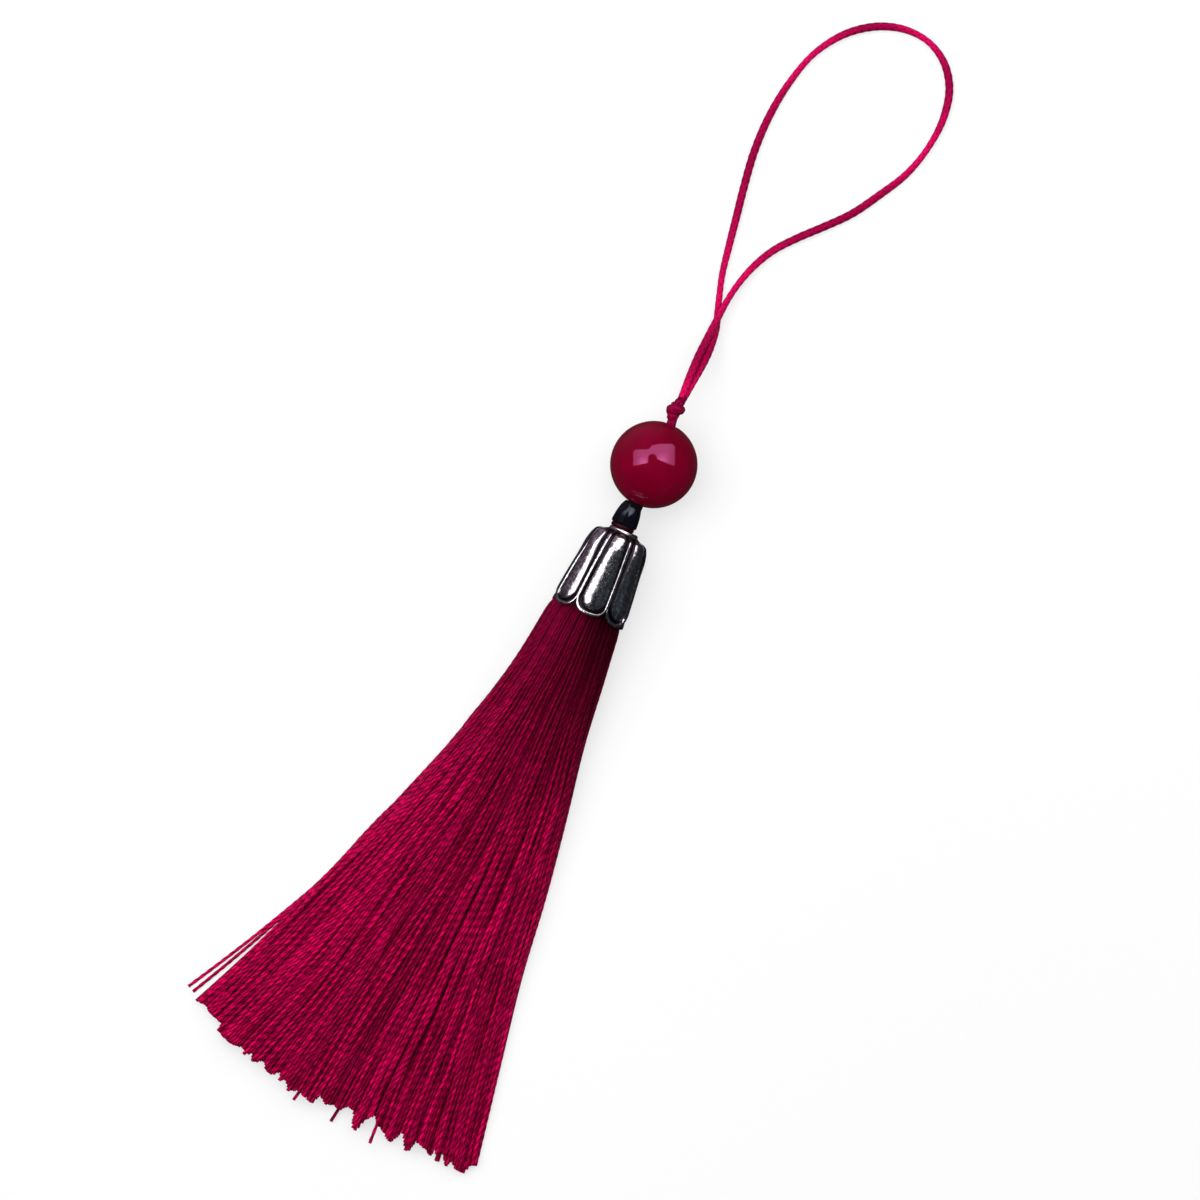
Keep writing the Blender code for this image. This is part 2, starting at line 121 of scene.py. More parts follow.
# Tones from 0, dark, to 1, light. The loop's tone swings as its flat side turns, a painted sheen: lighter
# where the flat side faces up and darker where its edge does. The knot and the stem are painted darker.
LOOP_TONE = 0.52
LOOP_SHEEN_SWING = 0.26
STEM_TONE = 0.1
KNOT_TONE = 0.17
# Route of the hanging loop: (across, along towards the loop, height of the cord's middle), in mm
LOOP_ROUTE = (
    (0.12, 9.9, 5.6), (0.2, 10.9, 5.4), (0.33, 12.7, 4.85), (0.48, 14.5, 4.1), (0.58, 16.4, 3.25),
    (0.5, 18.5, 2.15), (0.22, 20.6, 1.2), (-0.4, 22.6, 0.7), (-1.0, 24.4, 0.52), (-2.0, 27.7, 0.5),
    (-2.8, 31.9, 0.5), (-3.5, 36.0, 0.5), (-4.2, 40.0, 0.5), (-4.9, 45.1, 0.5), (-5.0, 50.4, 0.5),
    (-4.4, 55.5, 0.5), (-2.6, 61.4, 0.5), (0.7, 65.8, 0.5), (4.2, 68.1, 0.5), (7.5, 69.0, 0.5),
    (11.0, 68.7, 0.5), (14.0, 67.0, 0.5), (16.1, 64.1, 0.5), (17.0, 60.5, 0.5), (16.8, 55.5, 0.5),
    (15.5, 50.8, 0.5), (13.3, 46.7, 0.5), (10.8, 42.7, 0.5), (8.0, 39.5, 0.5), (5.3, 36.6, 0.5),
    (3.0, 33.7, 0.55), (1.4, 30.5, 0.75), (0.5, 27.5, 1.1), (0.05, 24.8, 1.45), (-0.12, 22.6, 1.75),
    (-0.25, 20.6, 2.2), (-0.35, 18.5, 2.9), (-0.45, 16.4, 3.7), (-0.45, 14.5, 4.7), (-0.42, 12.7, 5.6),
    (-0.35, 10.9, 6.2), (-0.3, 9.9, 6.35),
)

# Red bead
RED_BORE_RADIUS = 0.95 * MM
BORE_EDGE = 0.16 * MM

# The small bead and the ring hang a little to the left on their cord.
STRUNG_SHIFT = -0.42 * MM
SMALL_END = -9.3 * MM
SMALL_CONTACT_RADIUS = 1.1 * MM
# Outline of the small bead: (share of its length, radius in mm)
SMALL_OUTLINE = (
    (0.0, 1.05), (0.06, 1.2), (0.2, 1.43), (0.4, 1.62), (0.6, 1.74), (0.8, 1.81), (0.94, 1.82),
    (1.0, 1.74),
)
# The small bead shines from the first of these y to its top, and not below the second
SHINE_FULL_Y = -7.3 * MM
SHINE_NONE_Y = -8.3 * MM
RING_INSET = 0.08 * MM

# Knot
KNOT_SHIFT = -0.42 * MM
KNOT_MIDDLE = 8.0 * MM
KNOT_SHIFT_LENGTH = 1.5 * MM
KNOT_TURNS = 2.15
KNOT_START_ANGLE = math.radians(250)
# The wound turns of the knot: (share of its way, y, distance from its middle, cord radius), in mm
KNOT_WAY = (
    (0.0, 6.95, 0.1, 0.4), (0.1, 7.0, 0.24, 0.5), (0.3, 7.2, 0.36, 0.6), (0.5, 7.6, 0.46, 0.68),
    (0.7, 8.05, 0.53, 0.74), (0.9, 8.4, 0.48, 0.7), (1.0, 8.65, 0.2, 0.5),
)
STEM_CORD_RADIUS = 0.46 * MM
STEM_SPREAD = 0.26 * MM
STEM_TWIST_START = 9.0 * MM
STEM_TWIST = 1.3

# Cap
PETALS = 7
PETAL_HALF_WIDTH = 1.95 * MM
# Distances from a petal's edge at which its columns of points lie, in mm
PETAL_COLUMNS = (
    (0.05, 0.1, 0.14, 0.18, 0.21, 0.235, 0.25, 0.29, 0.35, 0.41, 0.425, 0.45, 0.49)
    + (0.55, 0.62, 0.7, 0.8, 0.92, 1.06, 1.22, 1.4, 1.6, 1.78)
)
CAP_WALL = 0.4 * MM
BORE_RADIUS = 1.02 * MM
COLLAR_LENGTH = 0.62 * MM
PETAL_NOTCH_DEPTH = 11.6 * MM
PETAL_TIP_LENGTH = 1.15 * MM
RIM_WIDTH = 0.56 * MM
RIM_HEIGHT = 0.42 * MM
RIM_CORNER = 1.3 * MM
# Near the collar the rim has this share of its height, and it rises over a stretch from there, in mm
RIM_LEAST = 0.35
RIM_RISE = (2.0, 7.0)
LOBE_SIDE_GAP = 0.31 * MM
LOBE_END_GAP = 0.64 * MM
LOBE_NARROWING = 0.42 * MM
LOBE_NARROWING_LENGTH = 9.0 * MM
LOBE_PUFF = 0.62 * MM
LOBE_LEAST = 0.4
LOBE_RISE_LENGTH = 3.5 * MM
LOBE_START = 0.15 * MM
GROOVE_DEPTH = 0.18 * MM
CAP_CEILING_DEPTH = 1.15 * MM
# The inside of the wall, from near the mouth up to near the ceiling, in mm
INSIDE_DEPTHS = (11.3, 1.9)
# How dark the silver is in the collar's foot and inside, from 0, bright, to 1
COLLAR_HOLLOW = 0.9
INSIDE_HOLLOW = 0.8
# Outer radius between the petals' swellings: (depth under the collar's top, radius), in mm
CAP_OUTSIDE = (
    (0.0, 1.88), (0.1, 2.02), (0.4, 2.14), (0.58, 2.4), (0.78, 3.0), (1.1, 3.52), (1.7, 3.82),
    (2.6, 3.98), (5.2, 4.25), (8.8, 4.7), (11.6, 5.0), (12.8, 5.1),
)

# Threads: the lattice of their places is spaced for this many, and 408 of its points lie in the fan.
THREADS = 410
THREAD_START_BELOW = 14.0 * MM
THREAD_LAST_BELOW = 101.2 * MM
ROOTS_BELOW = 20.5 * MM
ROOTS_RADIUS = 4.2 * MM
THREAD_TOP_RADIUS = 3.2 * MM
# At each station the threads settle: they are drawn to their places and pushed off each other.
THREAD_STATIONS = 116
SETTLE_PASSES = 10
SETTLE_PULL = 0.12
SMOOTH_PASSES = 2
# Shares of an overlap or of a gap that one pass closes from each side
PUSH_SHARE = 0.4
DRAW_SHARE = 0.3
# Neighbours whose middles lie further apart than this share of their thickness are drawn together
GAP_LIMIT = 0.5
# Under their roots the threads lie looser, come down to the floor and go each its own way.
LOOSENING = 1.0
LOOSENING_LENGTH = 20.0 * MM
UNDERSIDE_ON_FLOOR_BELOW = 38.0 * MM
UNDERSIDE_FLAT_BELOW = 52.0 * MM
FREE_LENGTH = 30.0 * MM
WANDER = 0.38 * MM
HEAVE = 0.08 * MM
RIDGE_RELIEF = 0.16
# 0 leaves the threads thickest in the fan's middle, and 1 spreads them evenly over its width
EVENING = 0.65
PLY_PITCH = 1.25 * MM
PLY_RELIEF = 0.1
# Thread thickness: (below, diameter), in mm
THREAD_THICKNESS = ((14.0, 0.3), (20.5, 0.37), (30.0, 0.41), (60.0, 0.44), (102.0, 0.46))
# Edges of the fan: (below, left edge, right edge), in mm
FAN_EDGES = (
    (20.5, -4.25, 4.25), (21.6, -4.7, 4.55), (22.7, -5.3, 5.0), (24.8, -5.65, 5.3), (27.2, -5.95, 5.6),
    (30.3, -6.35, 6.0), (38.6, -8.0, 7.0), (49.7, -11.1, 9.0), (60.7, -14.9, 10.8), (71.7, -19.0, 12.2),
    (82.8, -23.3, 14.2), (94.0, -28.2, 16.3), (102.0, -31.9, 17.8),
)
# Trimmed line of the threads, with its tips and notches: (across, below), in mm
TRIM_LINE = (
    (-28.1, 93.1), (-27.1, 93.8), (-24.5, 94.5), (-24.3, 95.5), (-22.4, 96.2), (-20.9, 96.5),
    (-19.5, 96.2), (-18.9, 97.1), (-18.1, 96.4), (-17.3, 97.5), (-15.9, 96.8), (-15.1, 97.8),
    (-14.3, 98.2), (-13.0, 97.3), (-12.6, 98.4), (-11.9, 97.8), (-10.8, 99.3), (-9.9, 98.6), (-9.3, 98.7),
    (-7.2, 99.4), (-6.8, 97.8), (-5.4, 98.8), (-4.2, 98.4), (-3.4, 98.7), (-2.5, 97.6), (-1.4, 98.4),
    (-0.5, 100.6), (0.4, 98.4), (1.4, 97.4), (2.1, 98.3), (3.6, 99.2), (4.6, 100.0), (5.9, 97.8),
    (7.1, 100.4), (7.9, 98.3), (9.2, 98.8), (10.4, 99.5), (10.8, 97.9), (11.6, 100.3), (11.9, 98.1),
    (12.8, 99.9), (13.5, 98.9), (14.1, 99.7), (15.4, 99.9), (15.9, 98.7), (16.9, 98.2),
)
# Single threads that stand out of the trimmed line: (across, below), in mm
LONE_THREADS = ((-9.65, 100.0), (-3.85, 100.7), (2.15, 101.1))
# Threads that stray from the left edge: (distance outside the edge, below), in mm
STRAY_THREADS = ((2.2, 91.7), (1.15, 92.1))
STRAY_START_BELOW = 71.0 * MM
TRIM_BELOW = 98.0 * MM
TRIM_UNEVENNESS = 0.12 * MM
# Painted shade: the threads are painted dark under the cap, which shades them, and darkest on their right
# flank, which faces away from the key light: their tone there and how much it gains further out, the lengths
# over which the painted shade fades, and where the right flank starts and how wide it is
PAINTED_SHADE_ROOT_TONE = 0.18
PAINTED_SHADE_TONE_GAIN = 0.86
FLANK_PAINTED_SHADE = 0.85
PAINTED_SHADE_LENGTH = 42.0 * MM
FLANK_LENGTH = 34.0 * MM
FLANK_START_X = -4.0 * MM
FLANK_WIDTH = 7.0 * MM
FINE_STEP = 0.33 * MM
FINE_SIDES = 8
PLAIN_STEP = 1.8 * MM
PLAIN_SIDES = 6
FINE_THREADS = 138
FINE_THREADS_A_PIECE = 46
# Outline of the bound head in the cap: (below, radius), and the ridges of its binding, in mm
HEAD_OUTLINE = (
    (11.95, 1.5), (12.2, 2.6), (13.2, 3.05), (15.0, 3.2), (17.0, 3.3), (18.0, 2.9),
)
BINDING_RELIEF = 0.08
BINDING_PITCH = 0.5

# Colours
# The deepest thread colour is painted shade, for the threads' right flank under the cap.
THREAD_DEEP_SHADE = (0.018, 0.0, 0.002)
THREAD_DARK = (0.045, 0.0, 0.005)
THREAD_LIGHT = (0.6, 0.0, 0.078)
# The seam colour is painted shade in the seams of the braid.
CORD_SEAM_SHADE = (0.09, 0.0, 0.012)
CORD_DARK = (0.06, 0.0, 0.008)
CORD_LIGHT = (0.63, 0.0, 0.09)
RED_DARK = (0.13, 0.0, 0.0095)
RED_LIGHT = (0.158, 0.0, 0.0125)
BEAD_BLACK = (0.002, 0.002, 0.004)
BEAD_BLACK_LIGHT = (0.004, 0.004, 0.007)
MAROON_DARK = (0.007, 0.0, 0.001)
MAROON_LIGHT = (0.018, 0.0, 0.003)
SILVER_GREY = (0.29, 0.265, 0.29)
SILVER_BRIGHT = (0.7, 0.69, 0.71)
SILVER_HOLLOW = (0.02, 0.013, 0.018)
FLOOR_DARK = (0.25, 0.25, 0.25)
FLOOR_LIGHT = (0.26, 0.26, 0.26)


def ease(value):
    """Rises smoothly from 0 to 1 as the value goes from 0 to 1."""
    value = np.clip(value, 0.0, 1.0)
    return value * value * (3.0 - 2.0 * value)


def smooth_table(rows, positions):
    """Reads every other column of a table at positions in its first column, on a smooth curve."""
    table = np.array(rows)
    keys = table[:, 0]
    slopes = np.gradient(table[:, 1:], keys, axis=0)
    positions = np.clip(np.atleast_1d(positions), keys[0], keys[-1])
    row = np.clip(np.searchsorted(keys, positions, side="right") - 1, 0, len(keys) - 2)
    gap = (keys[row + 1] - keys[row])[:, None]
    share = (positions - keys[row])[:, None] / gap
    return (
        (2 * share**3 - 3 * share**2 + 1) * table[row, 1:]
        + (share**3 - 2 * share**2 + share) * gap * slopes[row]
        + (3 * share**2 - 2 * share**3) * table[row + 1, 1:]
        + (share**3 - share**2) * gap * slopes[row + 1]
    )


def lengths_along(path):
    """The distance along a path at each of its points."""
    steps = np.linalg.norm(np.diff(path, axis=0), axis=1)
    return np.concatenate(([0.0], np.cumsum(steps)))


def respaced(path, spacing):
    """The same path with evenly spaced points."""
    at = lengths_along(path)
    wanted = np.linspace(0, at[-1], max(round(at[-1] / spacing), 2) + 1)
    return np.column_stack([np.interp(wanted, at, path[:, axis]) for axis in range(3)])


def smooth_route(points, spacing):
    """Reads evenly spaced points from a smooth curve through the route's own points."""
    route = np.array(points)
    rows = np.column_stack((lengths_along(route), route))
    fine = smooth_table(rows, np.linspace(0, rows[-1, 0], 1200))
    return respaced(fine, spacing)


def placed(name, data):
    """A new object of the scene."""
    item = bpy.data.objects.new(name, data)
    bpy.context.collection.objects.link(item)
    return item


class Grids:
    """Collects grids of points, each a tube or a turned solid, into one mesh."""

    def __init__(self):
        self.points = []
        self.quads = []
        self.caps = []
        self.uvs = []
        self.shades = []
        self.count = 0

    def add(self, grid, along, shade=0.5, closed_rows=False):
        """Rows run along the shape and columns round it. Shade is a number for each point, or one for all."""
        rows, columns = grid.shape[:2]
        index = self.count + np.arange(rows * columns).reshape(rows, columns)
        last = rows if closed_rows else rows - 1
        here = index[:last]
        after = np.roll(index, -1, axis=0)[:last]
        quads = np.stack((here, np.roll(here, -1, 1), np.roll(after, -1, 1), after), axis=-1)
        self.quads.append(quads.reshape(-1, 4))
        around = np.arange(columns) / columns
        start = np.broadcast_to(np.asarray(along)[:last, None], (last, columns))
        stop = np.broadcast_to(np.roll(along, -1)[:last, None], (last, columns))
        left = np.broadcast_to(around, (last, columns))
        right = left + 1 / columns
        corners = ((left, start), (right, start), (right, stop), (left, stop))
        self.uvs.append(np.stack([np.stack(corner, axis=-1) for corner in corners], axis=2).reshape(-1, 2))
        if not closed_rows:
            self.caps.append(index[0, ::-1].tolist())
            self.caps.append(index[-1].tolist())
        self.points.append(grid.reshape(-1, 3))
        self.shades.append(np.broadcast_to(shade, (rows, columns)).reshape(-1))
        self.count += rows * columns

    def make(self, name, material, sharp=math.radians(50)):
        quads = np.concatenate(self.quads)
        mesh = bpy.data.meshes.new(name)
        mesh.from_pydata(np.concatenate(self.points).tolist(), [], quads.tolist() + self.caps)
        mesh.shade_smooth()
        mesh.set_sharp_from_angle(angle=sharp)
        cap_corners = sum(len(cap) for cap in self.caps)
        uvs = np.concatenate(self.uvs + [np.zeros((cap_corners, 2))])
        layer = mesh.uv_layers.new(name="lay")
        layer.data.foreach_set("uv", uvs.astype(np.float32).ravel())
        shade = mesh.attributes.new("shade", "FLOAT", "POINT")
        shade.data.foreach_set("value", np.concatenate(self.shades).astype(np.float32))
        mesh.materials.append(material)
        return placed(name, mesh)


def closed_piece(name, points, material, shade=0.5):
    """A piece whose rows of points go all round its section, so that it needs no end faces."""
    grids = Grids()
    grids.add(points, np.arange(len(points)) / len(points), shade, closed_rows=True)
    return grids.make(name, material)


def tube(path, radius, sides, relief=None, reference=(0, 0, 1)):
    """Points of a tube along a path, and the distance along it. Relief(angle, distance) scales the radius."""
    along = lengths_along(path)
    tangent = np.gradient(path, along, axis=0)
    tangent /= np.linalg.norm(tangent, axis=1)[:, None]
    side = np.cross(tangent, reference)
    side /= np.linalg.norm(side, axis=1)[:, None]
    up = np.cross(tangent, side)
    angle = 2 * math.pi * np.arange(sides) / sides
    size = np.broadcast_to(radius, along.shape)[:, None] * np.ones(sides)
    if relief is not None:
        size = size * (1 + relief(angle[None, :], along[:, None]))
    out = np.cos(angle)[None, :, None] * side[:, None] + np.sin(angle)[None, :, None] * up[:, None]
    return path[:, None] + size[..., None] * out, along


def turned(profile, columns, across=0.0):
    """Points of a solid turned about the beads' axis. Its profile of (y, radius) runs towards -Y outside."""
    profile = np.array(profile)
    angle = 2 * math.pi * np.arange(columns) / columns
    y, radius = profile[:, 0, None], profile[:, 1, None]
    x = across + radius * np.cos(angle)
    z = AXIS_HEIGHT + radius * np.sin(angle)
    return np.stack((x, np.broadcast_to(y, x.shape), z), axis=-1)


class Finish:
    """A material's nodes, with a short way to add one and link it."""

    def __init__(self, name):
        self.material = bpy.data.materials.new(name)
        self.material.use_nodes = True
        self.nodes = self.material.node_tree.nodes
        self.shader = self.nodes["Principled BSDF"]

    def plug(self, target, value):
        if isinstance(value, bpy.types.NodeSocket):
            self.material.node_tree.links.new(value, target)
        elif target.type == "RGBA" and len(value) == 3:
            target.default_value = (*value, 1.0)
        else:
            target.default_value = value

    def add(self, kind, inputs=(), **settings):
        """Adds a node; inputs are its sockets in order, None to leave one alone. Returns its first output."""
        node = self.nodes.new("ShaderNode" + kind)
        for name, value in settings.items():
            setattr(node, name, value)
        shown = [socket for socket in node.inputs if socket.enabled]
        for socket, value in zip(shown, inputs):
            if value is not None:
                self.plug(socket, value)
        return [socket for socket in node.outputs if socket.enabled][0]

    def math(self, operation, *values):
        return self.add("Math", values, operation=operation)

    def mix(self, share, first, second):
        return self.add("Mix", (share, first, second), data_type="RGBA")

    def noise(self, place, scale, detail=2.0):
        node = self.nodes.new("ShaderNodeTexNoise")
        self.plug(node.inputs["Vector"], place)
        node.inputs["Scale"].default_value = scale
        node.inputs["Detail"].default_value = detail
        return node.outputs["Fac"]

    def ramp(self, value, low, high):
        """0 under low, 1 over high, smooth between."""
        node = self.nodes.new("ShaderNodeMapRange")
        node.interpolation_type = "SMOOTHSTEP"
        self.plug(node.inputs["Value"], value)
        node.inputs["From Min"].default_value = low
        node.inputs["From Max"].default_value = high
        return node.outputs["Result"]

    def object_place(self):
        return self.nodes.new("ShaderNodeTexCoord").outputs["Object"]

    def shade(self):
        node = self.nodes.new("ShaderNodeAttribute")
        node.attribute_name = "shade"
        return node.outputs["Fac"]

    def lay(self):
        """The share of the way round and the distance along a tube."""
        uv = self.nodes.new("ShaderNodeUVMap")
        uv.uv_map = "lay"
        split = self.nodes.new("ShaderNodeSeparateXYZ")
        self.plug(split.inputs[0], uv.outputs[0])
        return split.outputs[0], split.outputs[1]

    def bump(self, height, distance, strength=1.0):
        node = self.nodes.new("ShaderNodeBump")
        node.inputs["Strength"].default_value = strength
        node.inputs["Distance"].default_value = distance
        self.plug(node.inputs["Height"], height)
        self.plug(self.shader.inputs["Normal"], node.outputs[0])

    def set(self, **values):
        """Sets the shader's own sockets; an underscore stands for a space."""
        for name, value in values.items():
            self.plug(self.shader.inputs[name.replace("_", " ")], value)


def wave(finish, around, along, lobes, pitch):
    """A sine wave that winds round a tube: lobes times round it, with a crest each pitch along it."""
    round_it = finish.math("MULTIPLY", around, float(lobes))
    turns = finish.math("SUBTRACT", round_it, finish.math("DIVIDE", along, pitch))
    return finish.math("SINE", finish.math("MULTIPLY", turns, 2 * math.pi))


def thread_finish():
    """Satin thread, two plies twisted, with each thread a little lighter or darker.

    The shade attribute also carries painted shade, and the grooves between the plies are painted shade.
    """
    finish = Finish("crimson_thread")
    around, along = finish.lay()
    ply = wave(finish, around, along, 2, PLY_PITCH)
    fibre = wave(finish, around, along, 9, PLY_PITCH * 3)
    place = finish.object_place()
    cloud = finish.noise(place, 900.0, 3.0)
    fleck = finish.ramp(cloud, 0.3, 0.72)
    tone = finish.math("MULTIPLY", finish.shade(), finish.math("ADD", 0.55, fleck))
    # Where the painted shade is deepest, the dark end is painted darker still and the thread shines less.
    lit = finish.ramp(finish.shade(), 0.01, 0.06)
    dark = finish.mix(lit, THREAD_DEEP_SHADE, THREAD_DARK)
    base = finish.mix(tone, dark, THREAD_LIGHT)
    # Painted shade in the grooves between the plies.
    groove = finish.ramp(ply, -1.5, 0.6)
    finish.set(
        Base_Color=finish.mix(groove, dark, base),
        Roughness=0.45,
        Specular_IOR_Level=finish.math("MULTIPLY_ADD", lit, 0.24, 0.18),
        Specular_Tint=(1.0, 0.04, 0.3, 1.0),
    )
    height = finish.math("ADD", finish.math("MULTIPLY", ply, 0.7), finish.math("MULTIPLY", fibre, 0.3))
    finish.bump(height, 0.015 * MM, 0.8)
    return finish.material


def cord_finish():
    """Braided satin cord, with painted shade in the seams of its braid.

    The shade attribute sets its tone, with a painted sheen along the loop.
    """
    finish = Finish("crimson_cord")
    around, along = finish.lay()
    right = wave(finish, around, along, BRAID_LOBES, BRAID_PITCH)
    left = wave(finish, around, along, -BRAID_LOBES, BRAID_PITCH)
    braid = finish.math("MAXIMUM", right, left)
    fibre = wave(finish, around, along, 22, BRAID_PITCH * 2)
    cloud = finish.noise(finish.object_place(), 700.0, 3.0)
    tone = finish.math("MULTIPLY", finish.shade(), finish.math("ADD", 0.5, cloud))
    base = finish.mix(tone, CORD_DARK, CORD_LIGHT)
    finish.set(
        Base_Color=finish.mix(finish.ramp(braid, -1.2, 0.2), CORD_SEAM_SHADE, base),
        Roughness=0.45,
        Specular_IOR_Level=0.4,
        Specular_Tint=(1.0, 0.05, 0.35, 1.0),
    )
    height = finish.math("ADD", finish.math("MULTIPLY", braid, 0.6), finish.math("MULTIPLY", fibre, 0.25))
    finish.bump(height, 0.03 * MM, 0.7)
    return finish.material


def red_bead_finish():
    """Polished dark crimson bead with a faintly cloudy body."""
    finish = Finish("red_gloss")
    place = finish.object_place()
    cloud = finish.noise(place, 260.0, 3.0)
    finish.set(
        Base_Color=finish.mix(finish.ramp(cloud, 0.35, 0.7), RED_DARK, RED_LIGHT),
        Roughness=0.09,
        Specular_IOR_Level=0.6,
        Specular_Tint=(1.0, 0.24, 0.68, 1.0),
    )
    finish.bump(finish.noise(place, 1500.0), 0.004 * MM, 0.25)
    return finish.material


def black_bead_finish():
    """Black bead that shines only at its narrow end."""
    finish = Finish("black_gloss")
    place = finish.object_place()
    cloud = finish.noise(place, 900.0)
    y = finish.add("VectorMath", (place, (0.0, 1.0, 0.0)), operation="DOT_PRODUCT")
    near_red_bead = finish.ramp(y, SHINE_NONE_Y, SHINE_FULL_Y)
    finish.set(
        Base_Color=finish.mix(cloud, BEAD_BLACK, BEAD_BLACK_LIGHT),
        Roughness=0.08,
        Specular_IOR_Level=finish.math("MULTIPLY_ADD", near_red_bead, 0.26, 0.015),
        Specular_Tint=(0.75, 0.8, 1.0, 1.0),
    )
    finish.bump(finish.noise(place, 2500.0), 0.004 * MM, 0.3)
    return finish.material


def ring_finish():
    """Dull dark maroon ring."""
    finish = Finish("maroon")
    place = finish.object_place()
    cloud = finish.noise(place, 2500.0)
    finish.set(
        Base_Color=finish.mix(cloud, MAROON_DARK, MAROON_LIGHT),
        Roughness=0.45,
        Specular_IOR_Level=0.1,
    )
    finish.bump(cloud, 0.01 * MM, 0.4)
    return finish.material


def silver_finish():
    """Antiqued silver: bright on the raised parts, brown-black in the hollows, finely uneven from casting."""
    finish = Finish("antique_silver")
    place = finish.object_place()
    speckle = finish.noise(place, 2200.0, 4.0)
    cloud = finish.noise(place, 500.0, 3.0)
    flecks = finish.math("ADD", finish.math("MULTIPLY", cloud, 0.7), finish.math("MULTIPLY", speckle, 0.7))
    uneven = finish.math("SUBTRACT", flecks, 0.7)
    hollow = finish.ramp(finish.math("ADD", finish.shade(), uneven), 0.12, 0.85)
    bright = finish.mix(finish.ramp(speckle, 0.35, 0.7), SILVER_GREY, SILVER_BRIGHT)
    finish.set(
        Base_Color=finish.mix(hollow, bright, SILVER_HOLLOW),
        Metallic=1.0,
    )
    rough = finish.math("ADD", 0.17, finish.math("MULTIPLY", hollow, 0.25))
    finish.set(Roughness=finish.math("ADD", rough, finish.math("MULTIPLY", speckle, 0.08)))
    finish.bump(finish.math("ADD", speckle, cloud), 0.03 * MM, 0.6)
    return finish.material


def floor_finish():
    """Pale floor that glows a little, so that it shows as white with faint shadows."""
    finish = Finish("pale_floor")
    cloud = finish.noise(finish.object_place(), 3.0)
    finish.set(
        Base_Color=finish.mix(cloud, FLOOR_DARK, FLOOR_LIGHT),
        Roughness=0.9,
        Emission_Color=WHITE,
        Emission_Strength=0.62,
    )
    return finish.material


def braid(angle, along):
    """Relief of a braided cord that is a little flat and turns slowly: its strands wind opposite ways."""
    turn = 2 * math.pi * along / BRAID_PITCH
    right = np.sin(BRAID_LOBES * angle - turn)
    left = np.sin(-BRAID_LOBES * angle - turn)
    return BRAID_RELIEF * (np.maximum(right, left) - 0.4) - FLATNESS * np.cos(2 * angle - braid_lean(along))


def braid_lean(along):
    """Twice the angle by which the flat side of the cord is turned from facing up."""
    return 2 * math.pi * along / FLAT_TURN + 1.5 * np.sin(along / (11 * MM))


def hanging_loop(material):
    """The braided cord of the loop, from the knot round and back to it."""
    route = smooth_route(np.array(LOOP_ROUTE) * MM, CORD_STEP)
    grids = Grids()
    points, along = tube(route, CORD_DIAMETER / 2, CORD_SIDES, braid)
    # Painted sheen: lighter where the cord's flat side faces up, darker where its edge does.
    shade = LOOP_TONE + LOOP_SHEEN_SWING * np.cos(braid_lean(along))
    grids.add(points, along, shade[:, None])
    cord = grids.make("braided_loop", material)
    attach(cord, "root")
    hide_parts("hanging_loop")


def loop_knot(material):
    """The overhand knot, wound round the doubled cord that runs through the beads into the cap."""
    grids = Grids()
    low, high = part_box("loop_knot")
    for half_turn in (0.0, math.pi):
        y = np.linspace(low.y, high.y, 160)
        spin = half_turn + STEM_TWIST * ease((y - STEM_TWIST_START) / (high.y - STEM_TWIST_START))
        shift = KNOT_SHIFT * np.exp(-(((y - KNOT_MIDDLE) / KNOT_SHIFT_LENGTH) ** 2))
        x = shift + STEM_SPREAD * np.cos(spin)
        z = AXIS_HEIGHT + STEM_SPREAD * np.sin(spin)
        points, along = tube(np.column_stack((x, y, z)), STEM_CORD_RADIUS, CORD_SIDES, braid)
        grids.add(points, along, STEM_TONE)
    share = np.linspace(0, 1, 170)
    y, wound, radius = smooth_table(KNOT_WAY, share).T * MM
    spin = KNOT_START_ANGLE - KNOT_TURNS * 2 * math.pi * share
    path = np.column_stack((KNOT_SHIFT + wound * np.cos(spin), y, AXIS_HEIGHT + wound * np.sin(spin)))
    points, along = tube(path, radius, CORD_SIDES, braid, reference=(0, 1, 0))
    grids.add(points, along, KNOT_TONE)
    knot = grids.make("overhand_knot", material)
    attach(knot, "root")
    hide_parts("loop_knot")


def round_bead(material):
    """The red bead, with rounded edges where the cord enters and its flat spot on the floor."""
    start = math.asin((RED_BORE_RADIUS + BORE_EDGE) / BEAD_RADIUS)
    profile = []
    for angle in np.linspace(start, math.pi - start, 72):
        profile.append((BEAD_RADIUS * math.cos(angle), BEAD_RADIUS * math.sin(angle)))
    end = BEAD_RADIUS * math.cos(start)
    for way in (-1, 1):
        for angle in np.linspace(0.25, 1, 4) * math.pi / 2:
            bend = angle if way < 0 else math.pi / 2 - angle + 0.25 * math.pi / 2
            depth = BORE_EDGE * (1 - math.cos(bend))
            radius = RED_BORE_RADIUS + BORE_EDGE * (1 - math.sin(bend))
            profile.append((way * (end - depth), radius))
    points = turned(profile, 112)
    points[..., 2] = np.maximum(points[..., 2], 0.0)
    bead = closed_piece("round_bead", points, material)
    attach(bead, "root")
    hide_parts("red_bead")


def dark_bead(material):
    """The small bead: a dome that narrows towards the red bead."""
    top = -math.sqrt(BEAD_RADIUS**2 - SMALL_CONTACT_RADIUS**2)
    length = top - SMALL_END
    widest = (SMALL_HIGH.x - SMALL_LOW.x) / 2
    shares = np.linspace(0, 1, 30)
    radii = np.minimum(smooth_table(SMALL_OUTLINE, shares)[:, 0] * MM, widest)
    profile = [(top - share * length, radius) for share, radius in zip(shares, radii)]
    profile += [(SMALL_END, BORE_RADIUS), (top, BORE_RADIUS)]
    points = turned(profile, 72, STRUNG_SHIFT)
    # The bore stays on the axis of the red bead and the cap.
    points[-2:, :, 0] -= STRUNG_SHIFT
    bead = closed_piece("dark_bead", points, material)
    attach(bead, "root")
    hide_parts("small_bead")


